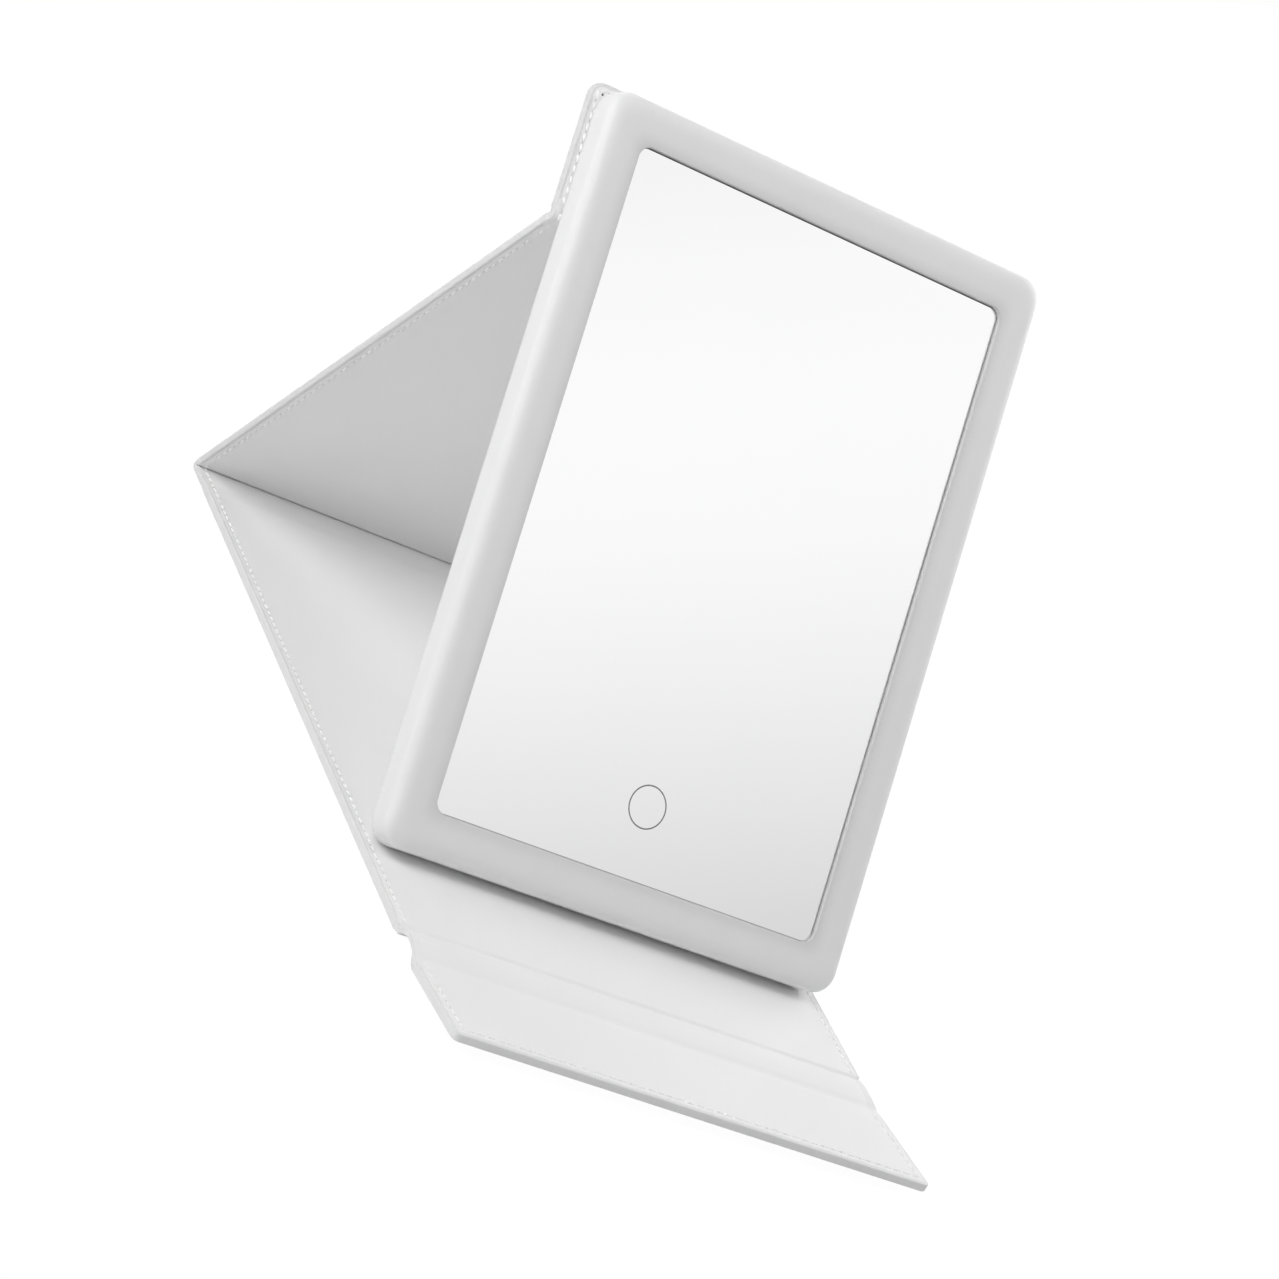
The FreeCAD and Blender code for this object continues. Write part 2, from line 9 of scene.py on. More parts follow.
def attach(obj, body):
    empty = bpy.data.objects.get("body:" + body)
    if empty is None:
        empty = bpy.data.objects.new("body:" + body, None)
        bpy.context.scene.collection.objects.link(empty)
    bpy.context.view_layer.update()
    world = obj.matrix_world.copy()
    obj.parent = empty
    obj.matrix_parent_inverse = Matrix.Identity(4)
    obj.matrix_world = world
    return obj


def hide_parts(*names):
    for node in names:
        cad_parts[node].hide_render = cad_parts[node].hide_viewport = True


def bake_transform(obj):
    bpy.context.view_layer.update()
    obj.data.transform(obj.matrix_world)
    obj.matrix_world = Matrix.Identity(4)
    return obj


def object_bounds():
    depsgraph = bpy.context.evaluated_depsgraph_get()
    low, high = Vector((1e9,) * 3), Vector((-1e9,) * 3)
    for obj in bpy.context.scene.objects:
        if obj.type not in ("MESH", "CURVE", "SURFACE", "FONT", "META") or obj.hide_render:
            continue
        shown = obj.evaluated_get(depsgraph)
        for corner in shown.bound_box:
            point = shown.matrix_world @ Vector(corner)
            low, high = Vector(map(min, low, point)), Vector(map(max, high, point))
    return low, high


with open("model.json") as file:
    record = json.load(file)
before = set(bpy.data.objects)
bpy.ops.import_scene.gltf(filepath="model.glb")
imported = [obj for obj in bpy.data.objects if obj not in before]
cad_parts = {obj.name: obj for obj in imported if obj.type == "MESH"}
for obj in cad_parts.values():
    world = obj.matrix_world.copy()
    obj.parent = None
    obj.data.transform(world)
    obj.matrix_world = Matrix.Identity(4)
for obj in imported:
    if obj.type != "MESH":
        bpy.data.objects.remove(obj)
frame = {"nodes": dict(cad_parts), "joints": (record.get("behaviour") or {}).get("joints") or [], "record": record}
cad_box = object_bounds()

# Looks of a lighted folding makeup mirror: a flat mirror with a milky frame on a folded leather folio.
# Metres, and degrees for angles. +X to the right, +Y to the back, +Z up. The mirror faces -Y.
MM = 0.001
ACROSS = Vector((1, 0, 0))
TOWARDS_FRONT = Vector((0, -1, 0))
UPWARDS = Vector((0, 0, 1))
SHARP_ANGLE = 50.0

# Milky frame: its cross-section, drawn in from the outside and measured from the back
BODY_CORNER = 6.5 * MM
OPENING_CORNER = 3.5 * MM
FRAME_CORNER_STEPS = 12
FRAME_ARC_STEPS = 9
BACK_ROUND = 2.9 * MM
BACK_ROUND_DEEP = 4.0 * MM
FRONT_ROUND = 4.5 * MM
FRONT_ROUND_DEEP = 3.0 * MM
CROWN = 0.25 * MM
OUTLINE_GROWN = 0.3 * MM
BEZEL = 11.9 * MM
LIP_WIDTH = 0.3 * MM
LIP_DEEP = 0.3 * MM
LIP_START = BEZEL - LIP_WIDTH
OPENING_SHIFT = 0.08 * MM
OPENING_SHIFT_CURVE = 4
# Painted shade on the frame: it starts at this inset, grows towards the lip, and is darkest on the lip and in the
# opening
PAINTED_SHADE_FROM = 7.0 * MM
PAINTED_SHADE_CURVE = 2
PAINTED_SHADE_AT_LIP = 0.8
OPAL_PAINTED_SHADES = ((0.0, 1.0), (PAINTED_SHADE_AT_LIP, 0.82), (1.0, 0.66))
SIDE_WALL = 3.3 * MM
FRONT_WALL = 1.8 * MM
OPENING_WALL = 1.4 * MM
SHELF_WIDTH = 6.0 * MM
SHELF_FRONT = 7.8 * MM
SHELF_BACK = 6.4 * MM
EASE = 0.4 * MM
PORT_ABOVE_BOTTOM = 42.0 * MM
PORT_DEPTH = 3.3 * MM
PORT_REACH = 2.85 * MM
PORT_RADIUS = 1.8 * MM
PORT_BEVEL = 0.35 * MM

# Leather panels
HEM = 1.0 * MM
SEAM_GAP = 0.03 * MM
SEAM_DEPTH = 0.1 * MM
EDGE_ROUND = 0.45 * MM
HEM_ROUND = 0.08 * MM
LINING_ROUND = 0.1 * MM
LINING_PROUD = 0.05 * MM
LINING_END = 0.1 * MM
SKIN_THICK = 0.6 * MM
HANGER_CORNER = 4.0 * MM
FLAP_CORNER = 2.2 * MM
FOLD_CORNER = 1.5 * MM
LEAST_CORNER = 0.3 * MM
FOLD_END_SHARE = 0.3
OUTLINE_STEP = 8.0 * MM
CORNER_STEPS = 6
ARC_STEPS = 5
EDGE_WAVER = 0.06 * MM
WAVER_SCALE = 45.0

# Leather's looks: an edge is worn and carries painted shade, which darken it towards a share of the leather's tone
OUTER_TONE = 0.80
LINING_TONE = 0.88
MOTTLE_DARKER = 0.02
MOTTLE_LIGHTER = 0.01
OUTER_GRAIN = 0.05 * MM
LINING_GRAIN = 0.035 * MM
GRAIN_WARP = 0.0006
EDGE_WEAR_AND_SHADE_TONE = 0.9
FULL_WEAR_AND_SHADE = 1.0
SPINE_WEAR_AND_SHADE = 0.4
LIGHT_WEAR_AND_SHADE = 0.1

# Stitching
STITCH_INSET = 2.6 * MM
HANGER_ROW = 2.2 * MM
STRUT_ROW = 2.45 * MM
FLAP_ROW = 3.0 * MM
STITCH_PITCH = 3.1 * MM
STITCH_LENGTH = 2.3 * MM
STITCH_SLANT = 14.0
THREAD_RADIUS = 0.46 * MM
THREAD_SIDES = 7
THREAD_STEPS = 6
THREAD_PROUD = 0.38 * MM
THREAD_DIVE = 1.4
THREAD_DIVE_CURVE = 4
HOLE_RADIUS = 0.3 * MM
HOLE_DEEP = 0.3 * MM
HOLE_SIDES = 8
HOLE_PROUD = 0.02 * MM
CORNER_HOLE_RADIUS = 0.36 * MM
CORNER_HOLE_INSET = 3.5 * MM
CORNER_HOLE_BELOW = 3.2 * MM
CHANNEL_WIDTH = 1.0 * MM
CHANNEL_DEPTH = 0.12 * MM
CHANNEL_STEPS = 4

# Soft spines and folds
STRIP_THICK = 1.2 * MM
STRIP_STEP = 0.3 * MM
STRIP_COLUMNS = 24
STRIP_EDGE_SHARE = 0.85
SLEEVE = 2.0 * MM
SLEEVE_PROUD = 0.03 * MM
SLEEVE_END = 0.6 * MM
SLEEVE_DIP = 0.15 * MM
REAR_SPINE_LOW = 0.4 * MM
BASE_RAMP = 6.0 * MM
FOLD_RAMP = 1.6 * MM
FOLD_ARC_STEPS = 12
SPINE_ARCH = 0.9 * MM
SPINE_ARCH_TOP = 0.4
SPINE_REAR_CREASE = 1.05 * MM
SPINE_REAR_CREASE_WIDTH = 2.6 * MM
SPINE_FRONT_CREASE = 0.32 * MM
SPINE_FRONT_CREASE_WIDTH = 5.0 * MM
SPINE_TAPER = 6.5 * MM
SPINE_OVERLAP = 3.0 * MM
SPINE_OVERLAP_THICK = 0.2 * MM
SPINE_OVERLAP_PROUD = 0.02 * MM
SPINE_OVERLAP_RAMP = 0.8 * MM
SPINE_DRAWN_IN = 1.2 * MM
SPINE_DRAWN_EARLY = 0.7
FOLD_DRAWN_IN = 0.25 * MM
SPINE_RIPPLE = 0.10 * MM
FOLD_INNER = 0.3 * MM
MITRE_ROUND = 0.06 * MM
FOLD_LEG = 1.6 * MM

# Camera
CAMERA_PLACE = Vector((-0.63131, -0.95510, 0.46612))
CAMERA_AIM = Vector((0.00700, 0.0, 0.05284))
CAMERA_ROLL = 34.10
CAMERA_LENS = 125.53
SENSOR_WIDTH = 36.0

# Light: each lamp's name, place, size and watts, and the lamps that reflections leave out
AMBIENT = 0.02
LAMPS = (
    ("left_top_softbox", (-0.65, -0.1, 0.75), 0.6, 3.55),
    ("right_top_softbox", (0.5, -0.3, 0.8), 0.6, 2.7),
    ("left_softbox", (-1.2, -0.2, 1.2), 1.2, 2.8),
    ("left_rear_softbox", (-1.5, 0.8, 0.6), 1.4, 5.5),
    ("left_front_softbox", (-1.4, -1.2, 0.7), 1.4, 9.0),
    ("right_softbox", (1.7, 0.0, 0.8), 1.2, 6.3),
    ("right_rear_softbox", (1.5, 0.8, 0.7), 1.2, 8.3),
    ("rear_softbox", (0.0, 1.9, 0.9), 1.4, 6.4),
)
UNMIRRORED = ("right_top_softbox",)
FLOOR_SIZE = 8.0
FLOOR_DROP = 0.2 * MM
FLOOR_TONE = 0.9
FLOOR_WHITE = 0.96
FLOOR_SHADOW = 0.09

# What the mirror shows: (place, tone) stops between two heights of the sky
REFLECTED_LOW = 0.48
REFLECTED_HIGH = 0.63
REFLECTED = ((0.0, 0.68), (0.2, 0.805), (0.367, 0.895), (0.533, 0.965),
             (0.7, 0.98), (0.867, 0.96), (1.0, 0.91))

# Sockets of a Mix node for each kind of value: both inputs and the result
MIX_FACTOR = 0
MIX_SOCKETS = {"VECTOR": (4, 5, 1), "RGBA": (6, 7, 2)}


def grey(value):
    return (value, value, value)


def opaque(colour):
    return (*colour, 1.0)


# Plain materials: dark and light colour, scale and depth of the speckle, range of the roughness
SPECKLED = {
    "ring_line": (grey(0.20), grey(0.26), 2200.0, 0.01 * MM, (0.4, 0.6)),
    "foam_tape": (grey(0.76), grey(0.86), 1800.0, 0.06 * MM, (0.8, 0.95)),
    "conductive_foam": (grey(0.07), grey(0.13), 2400.0, 0.1 * MM, (0.8, 0.95)),
    "white_plastic": (grey(0.84), grey(0.88), 1700.0, 0.04 * MM, (0.42, 0.58)),
    "circuit_board": ((0.80, 0.83, 0.80), (0.88, 0.90, 0.88), 700.0, 0.02 * MM, (0.35, 0.5)),
    "lamp": ((0.90, 0.80, 0.42), (0.95, 0.88, 0.55), 1500.0, 0.02 * MM, (0.25, 0.4)),
    "chip": (grey(0.03), grey(0.055), 1600.0, 0.02 * MM, (0.45, 0.6)),
    "wire": ((0.60, 0.06, 0.05), (0.70, 0.09, 0.07), 900.0, 0.01 * MM, (0.35, 0.5)),
    "grey_board": ((0.42, 0.40, 0.37), (0.52, 0.50, 0.46), 1300.0, 0.05 * MM, (0.8, 0.95)),
    # The two holes are dark plugs that stand in for the shade inside a hole: painted shade
    "open_hole": (grey(0.06), grey(0.10), 2500.0, 0.02 * MM, (0.8, 0.95)),
    "needle_hole": (grey(0.34), grey(0.48), 2500.0, 0.02 * MM, (0.8, 0.95)),
}
SPECKLES_PER_PATCH = 12.0

# Metals: dark and light colour, range of the roughness
BRUSHED = {
    "copper_foil": ((0.72, 0.40, 0.27), (0.86, 0.52, 0.37), (0.25, 0.4)),
    "steel": (grey(0.55), grey(0.68), (0.22, 0.38)),
    "pouch_foil": (grey(0.62), grey(0.74), (0.35, 0.5)),
    "magnet": (grey(0.66), grey(0.76), (0.15, 0.28)),
}


class Nodes:
    """The shader nodes of a material or a world, with short ways to add to them."""

    def __init__(self, owner):
        owner.use_nodes = True
        self.tree = owner.node_tree

    def feed(self, socket, value):
        """Link a socket to another one, or give it a plain value."""
        if isinstance(value, bpy.types.NodeSocket):
            self.tree.links.new(value, socket)
        else:
            socket.default_value = value

    def node(self, kind, settings=None, **inputs):
        """A node with settings of its own, whose inputs are fed by name."""
        made = self.tree.nodes.new("ShaderNode" + kind)
        for name, value in (settings or {}).items():
            setattr(made, name, value)
        for name, value in inputs.items():
            self.feed(made.inputs[name.replace("_", " ")], value)
        return made

    def ordered(self, kind, *values, **settings):
        """The result of a node whose inputs are fed in their order."""
        made = self.node(kind, settings)
        for socket, value in zip(made.inputs, values):
            self.feed(socket, value)
        return made.outputs[0]

    def ramp(self, value, stops):
        """The grey that a value has between (place, tone) stops."""
        made = self.node("ValToRGB", Fac=value)
        elements = made.color_ramp.elements
        for index, (place, tone) in enumerate(stops):
            stop = elements[index] if index < len(elements) else elements.new(place)
            stop.position = place
            stop.color = opaque(grey(tone))
        return made.outputs["Color"]


class Shader(Nodes):
    """A procedural material."""

    def __init__(self, name):
        self.material = bpy.data.materials.new(name)
        super().__init__(self.material)
        self.surface = self.tree.nodes["Principled BSDF"]
        self.place = self.node("TexCoord").outputs["Object"]

    def set(self, **inputs):
        """Feed inputs of the surface by name."""
        for name, value in inputs.items():
            self.feed(self.surface.inputs[name.replace("_", " ")], value)

    def noise(self, scale, detail=3.0, place=None):
        """Noise between 0 and 1, in the object's own coordinates or at another place."""
        made = self.node("TexNoise", Vector=place or self.place, Scale=scale, Detail=detail)
        return made.outputs["Fac"]

    def stretched(self, scale):
        """The object's own coordinates, stretched by a factor for each axis."""
        return self.node("Mapping", Vector=self.place, Scale=scale).outputs[0]

    def spread(self, value, low, high):
        """A value that runs from 0 to 1, spread over another range."""
        return self.node("MapRange", Value=value, To_Min=low, To_Max=high).outputs[0]

    def mix(self, kind, factor, first, last, blend="MIX"):
        """Two vectors or two colours, mixed by a factor."""
        made = self.node("Mix", {"data_type": kind, "blend_type": blend})
        first_input, last_input, result = MIX_SOCKETS[kind]
        self.feed(made.inputs[MIX_FACTOR], factor)
        self.feed(made.inputs[first_input], first)
        self.feed(made.inputs[last_input], last)
        return made.outputs[result]

    def tint(self, factor, first, last):
        return self.mix("RGBA", factor, opaque(first), opaque(last))

    def mesh_value(self, name):
        """A value that a piece's own mesh holds, or 0 where it holds none."""
        return self.node("Attribute", {"attribute_name": name}).outputs["Fac"]

    def bump(self, height, distance, strength, under=None):
        """The surface's direction under a relief, which may lie on another relief."""
        made = self.node("Bump", Height=height, Distance=distance, Strength=strength)
        if under is not None:
            self.feed(made.inputs["Normal"], under)
        return made.outputs[0]


def opal_plastic():
    """Milky diffuser plastic: satin, faintly cloudy, with light passing a little way into it, and painted shade
    that darkens it towards the glass.
    """
    shader = Shader("opal_plastic")
    cloud = shader.noise(scale=60.0)
    fine = shader.noise(scale=2600.0, detail=2.0)
    milky = shader.tint(cloud, grey(0.830), grey(0.850))
    # Painted shade held on the mesh: darker towards the glass, darkest on the lip and in the opening
    painted_shade = shader.ramp(shader.mesh_value("painted_shade_near_glass"), OPAL_PAINTED_SHADES)
    shader.set(Base_Color=shader.mix("RGBA", 1.0, milky, painted_shade, blend="MULTIPLY"),
               Roughness=shader.spread(fine, low=0.36, high=0.46),
               Normal=shader.bump(fine, distance=0.02 * MM, strength=0.12),
               Subsurface_Weight=0.5, Subsurface_Scale=2.5 * MM,
               Subsurface_Radius=(1.0, 1.0, 1.0), IOR=1.49)
    return shader.material


def silvered_glass():
    """Silvered float glass, with the faint haze that a wiped mirror keeps."""
    shader = Shader("silvered_glass")
    haze = shader.noise(scale=35.0, detail=5.0)
    wipe = shader.noise(scale=120.0, place=shader.stretched((1.0, 0.12, 0.12)))
    shader.set(Base_Color=shader.tint(haze, (0.975, 0.978, 0.978), (0.99, 0.99, 0.99)),
               Roughness=shader.spread(wipe, low=0.01, high=0.035), Metallic=1.0)
    return shader.material


def leather(name, tone, grain_depth):
    """White leather-look sheet: pebbled grain, shallow creases, worn edges with painted shade and a soft sheen."""
    shader = Shader(name)
    warp = shader.node("TexNoise", Vector=shader.place, Scale=700.0, Detail=2.0).outputs["Color"]
    pebbles = shader.node("TexVoronoi", {"feature": "SMOOTH_F1"},
                          Vector=shader.mix("VECTOR", GRAIN_WARP, shader.place, warp),
                          Scale=1500.0, Smoothness=0.35).outputs["Distance"]
    fine = shader.noise(scale=3800.0, detail=2.0)
    crease = shader.noise(scale=110.0, detail=4.0, place=shader.stretched((0.35, 1.0, 1.0)))
    mottle = shader.noise(scale=28.0, detail=4.0)
    unworn = shader.tint(mottle, grey(tone - MOTTLE_DARKER), grey(tone + MOTTLE_LIGHTER))
    # Worn look and painted shade together: the edges darken, most on the panels whose edges face the lamps
    wear_and_shade_mask = shader.ordered("Math", shader.mesh_value("edge_wear_and_shade"),
                            shader.spread(crease, low=0.7, high=1.1), operation="MULTIPLY")
    creased = shader.bump(crease, distance=0.25 * MM, strength=0.12)
    pebbled = shader.bump(pebbles, distance=grain_depth, strength=0.5, under=creased)
    shader.set(Base_Color=shader.mix("RGBA", wear_and_shade_mask, unworn, opaque(grey(tone * EDGE_WEAR_AND_SHADE_TONE))),
               Roughness=shader.spread(pebbles, low=0.46, high=0.62),
               Normal=shader.bump(fine, distance=0.012 * MM, strength=0.3, under=pebbled),
               Sheen_Weight=0.12, Sheen_Roughness=0.5)
    return shader.material


def thread():
    """Twisted white sewing thread."""
    shader = Shader("thread")
    twist = shader.node("TexWave", {"bands_direction": "DIAGONAL"}, Vector=shader.place,
                        Scale=900.0, Distortion=1.5).outputs["Fac"]
    shader.set(Base_Color=shader.tint(twist, grey(0.90), grey(0.97)),
               Roughness=shader.spread(twist, low=0.5, high=0.7),
               Normal=shader.bump(twist, distance=0.04 * MM, strength=0.6), Sheen_Weight=0.2)
    return shader.material


def speckled(name, dark, light, scale, depth, rough):
    """A plain material with its own speckle in colour, gloss and surface."""
    shader = Shader(name)
    speckle = shader.noise(scale, detail=4.0)
    patches = shader.noise(scale / SPECKLES_PER_PATCH)
    shader.set(Base_Color=shader.tint(patches, dark, light),
               Roughness=shader.spread(speckle, *rough),
               Normal=shader.bump(speckle, depth, strength=0.3))
    return shader.material


def brushed(name, dark, light, rough):
    """Metal with fine drawn lines."""
    shader = Shader(name)
    lines = shader.noise(scale=900.0, place=shader.stretched((0.06, 1.0, 1.0)))
    shader.set(Base_Color=shader.tint(lines, dark, light),
               Roughness=shader.spread(lines, *rough),
               Normal=shader.bump(lines, distance=0.01 * MM, strength=0.3), Metallic=1.0)
    return shader.material


def build_materials():
    """One material for each of the record's slots, and those of the stitching."""
    made = {
        "opal_plastic": opal_plastic(),
        "silvered_glass": silvered_glass(),
        "outer_leather": leather("outer_leather", OUTER_TONE, OUTER_GRAIN),
        "lining_leather": leather("lining_leather", LINING_TONE, LINING_GRAIN),
        "thread": thread(),
    }
    for name, look in SPECKLED.items():
        made[name] = speckled(name, *look)
    for name, look in BRUSHED.items():
        made[name] = brushed(name, *look)
    return made


materials = build_materials()


def dress_nodes():
    """Give every solid of the frame the material of its slot."""
    for subpart in frame["record"]["subparts"]:
        node = frame["nodes"][subpart["node"]]
        node.data.materials.clear()
        node.data.materials.append(materials[subpart["material_slot"]])


def shade(made):
    """Faces outwards, smooth shading, and sharp edges where faces meet steeply."""
    shaped = bmesh.new()
    shaped.from_mesh(made.data)
    bmesh.ops.recalc_face_normals(shaped, faces=shaped.faces)
    shaped.to_mesh(made.data)
    shaped.free()
    made.data.shade_smooth()
    made.data.set_sharp_from_angle(angle=math.radians(SHARP_ANGLE))


def make_object(name, points, faces, kinds, face_kinds=None):
    """A mesh object with one material for each of its kinds of face."""
    mesh = bpy.data.meshes.new(name)
    mesh.from_pydata(points, [], faces)
    for kind in kinds:
        mesh.materials.append(materials[kind])
    if face_kinds:
        mesh.polygons.foreach_set("material_index", face_kinds)
    made = bpy.data.objects.new(name, mesh)
    bpy.context.scene.collection.objects.link(made)
    shade(made)
    return made


def hold_value(made, name, values):
    """Keep one value for each point of a mesh, which its material reads."""
    made.data.attributes.new(name, "FLOAT", "POINT").data.foreach_set("value", values)


def loft_faces(ring_count, ring_size, first=0):
    """Quads through rings of points that follow each other, with both ends filled."""
    faces = band_faces(ring_count, ring_size, first)
    last = first + (ring_count - 1) * ring_size
    faces.append(tuple(reversed(range(first, first + ring_size))))
    faces.append(tuple(range(last, last + ring_size)))
    return faces


def band_faces(ring_count, ring_size, first=0, closed=False):
    """Quads through rings of points that follow each other, and back to the first if closed."""
    faces = []
    for ring in range(ring_count if closed else ring_count - 1):
        start = first + ring * ring_size
        following = first + (ring + 1) % ring_count * ring_size
        for step in range(ring_size):
            after = (step + 1) % ring_size
            faces.append((start + step, start + after, following + after, following + step))
    return faces


def make_loft(name, rings, kinds, face_kinds=None):
    """A closed mesh object through rings of points that follow each other."""
    points = [point for ring in rings for point in ring]
    return make_object(name, points, loft_faces(len(rings), len(rings[0])), kinds, face_kinds)


def divided(start, end, step):
    """Points from start up to, but without, end, evenly spaced by about a step."""
    count = max(1, round((end - start).length / step))
    return [start.lerp(end, index / count) for index in range(count)]


def rounded_corners(half, low, high, low_radius, high_radius, steps):
    """The four corner arcs of a rounded rectangle, each a list of points."""
    corners = (
        (half - low_radius, low + low_radius, low_radius, -90),
        (half - high_radius, high - high_radius, high_radius, 0),
        (high_radius - half, high - high_radius, high_radius, 90),
        (low_radius - half, low + low_radius, low_radius, 180),
    )
    arcs = []
    for x, y, radius, start in corners:
        angles = [math.radians(start + 90 * step / steps) for step in range(steps + 1)]
        arcs.append([Vector((x + radius * math.cos(angle), y + radius * math.sin(angle)))
                     for angle in angles])
    return arcs


class Placed:
    """A flat piece measured on its solids, with axes across it, along it and out of its face."""

    def __init__(self, flat_node, whole_node, towards):
        flat = frame["nodes"][flat_node].data
        normal = max(flat.polygons, key=lambda face: face.area).normal.copy()
        self.facing = normal if normal.dot(towards) > 0 else -normal
        self.along = self.facing.cross(ACROSS)
        self.axes = Matrix((ACROSS, self.along, self.facing)).transposed()
        whole = frame["nodes"][whole_node].data
        own = [self.axes.transposed() @ vertex.co for vertex in whole.vertices]
        self.half = max(point.x for point in own)
        self.low = min(point.y for point in own)
        self.high = max(point.y for point in own)
        self.outside = min(point.z for point in own)
        self.inside = max(point.z for point in own)

    def place(self, x, y, z):
        """A place in the shared frame, from one along the piece's own axes."""
        return self.axes @ Vector((x, y, z))


def quarter(centre, width, depth, start, end):
    """Points of a quarter of an ellipse, from one angle to another."""
    points = []
    for step in range(FRAME_ARC_STEPS + 1):
        angle = math.radians(start + (end - start) * step / FRAME_ARC_STEPS)
        points.append((centre[0] + width * math.cos(angle), centre[1] + depth * math.sin(angle)))
    return points


def frame_section(depth):
    """(drawn in, depth) points round the frame's cross-section: back, wall, front, lip and hollow."""
    section = quarter((BACK_ROUND, BACK_ROUND_DEEP), BACK_ROUND, BACK_ROUND_DEEP, 270, 180)
    section.append((0.0, BACK_ROUND_DEEP + EASE))
    section.append((0.0, depth - FRONT_ROUND_DEEP - EASE))
    section += quarter((FRONT_ROUND, depth - FRONT_ROUND_DEEP), FRONT_ROUND, FRONT_ROUND_DEEP, 180, 90)
    for step in range(1, FRAME_ARC_STEPS):
        share = step / FRAME_ARC_STEPS
        drawn = FRONT_ROUND + (LIP_START - FRONT_ROUND) * share
        section.append((drawn, depth - CROWN * share ** 2))
    section += quarter((LIP_START, depth - CROWN - LIP_DEEP), LIP_WIDTH, LIP_DEEP, 90, 0)
    section += [
        (BEZEL, SHELF_FRONT),
        (BEZEL + SHELF_WIDTH, SHELF_FRONT),
        (BEZEL + SHELF_WIDTH, SHELF_BACK),
        (BEZEL - OPENING_WALL, SHELF_BACK),
        (BEZEL - OPENING_WALL, depth - FRONT_WALL),
        (SIDE_WALL, depth - FRONT_WALL),
        (SIDE_WALL, 0.0),
    ]
    return section


def port_cutter(body):
    """A lozenge through the right wall, a little wider at the outside."""
    rings = ((body.half - SIDE_WALL - EASE, 0.0), (body.half - PORT_BEVEL, 0.0),
             (body.half + PORT_BEVEL, 2 * PORT_BEVEL))
    points = []
    for x, growth in rings:
        radius = PORT_RADIUS + growth
        for side in (1, -1):
            for step in range(FRAME_CORNER_STEPS + 1):
                angle = math.radians(90 * (1 - side) + 180 * step / FRAME_CORNER_STEPS)
                y = body.low + PORT_ABOVE_BOTTOM + side * PORT_REACH + radius * math.sin(angle) * side
                z = body.outside + PORT_DEPTH + radius * math.cos(angle)
                points.append(body.place(x, y, z))
    size = 2 * (FRAME_CORNER_STEPS + 1)
    return make_object("port_cutter", points, loft_faces(len(rings), size), ["opal_plastic"])


def cut(made, cutter):
    """Take a cutter out of a piece."""
    step = made.modifiers.new("cut", "BOOLEAN")
    step.operation = "DIFFERENCE"
    step.solver = "EXACT"
    step.object = cutter
    shown = made.evaluated_get(bpy.context.evaluated_depsgraph_get())
    mesh = bpy.data.meshes.new_from_object(shown)
    made.modifiers.clear()
    made.data = mesh
    bpy.data.objects.remove(cutter)
    shade(made)


def make_frame():
    """The milky frame: a softly rounded wall, a crowned front and a rolled lip at the glass, with painted shade
    that darkens the front towards the glass and the lip and opening most.
    """
    body = Placed("mirror_glass", "diffuser_frame", TOWARDS_FRONT)
    section = frame_section(body.inside - body.outside)
    ring_size = 4 * (FRAME_CORNER_STEPS + 1)
    points = []
    painted_shades = []
    for inset, depth in section:
        radius = BODY_CORNER - (BODY_CORNER - OPENING_CORNER) * inset / BEZEL
        drawn = inset - OUTLINE_GROWN
        arcs = rounded_corners(body.half - drawn, body.low + drawn, body.high - drawn,
                               radius, radius, FRAME_CORNER_STEPS)
        near = min(max((inset - PAINTED_SHADE_FROM) / (LIP_START - PAINTED_SHADE_FROM), 0.0), 1.0)
        shift = OPENING_SHIFT * near ** OPENING_SHIFT_CURVE
        points += [body.place(point.x + shift, point.y + shift, body.outside + depth)
                   for arc in arcs for point in arc]
        # Painted shade of each ring, which the material reads: growing towards the lip, and full on the lip and in
        # the opening
        painted_shade = 1.0 if inset > LIP_START else PAINTED_SHADE_AT_LIP * near ** PAINTED_SHADE_CURVE
        painted_shades += [painted_shade] * ring_size
    faces = band_faces(len(section), ring_size, closed=True)
    made = make_object("opal_frame", points, faces, ["opal_plastic"])
    hold_value(made, "painted_shade_near_glass", painted_shades)
    cut(made, port_cutter(body))
    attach(made, "mirror")
    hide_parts("diffuser_frame")


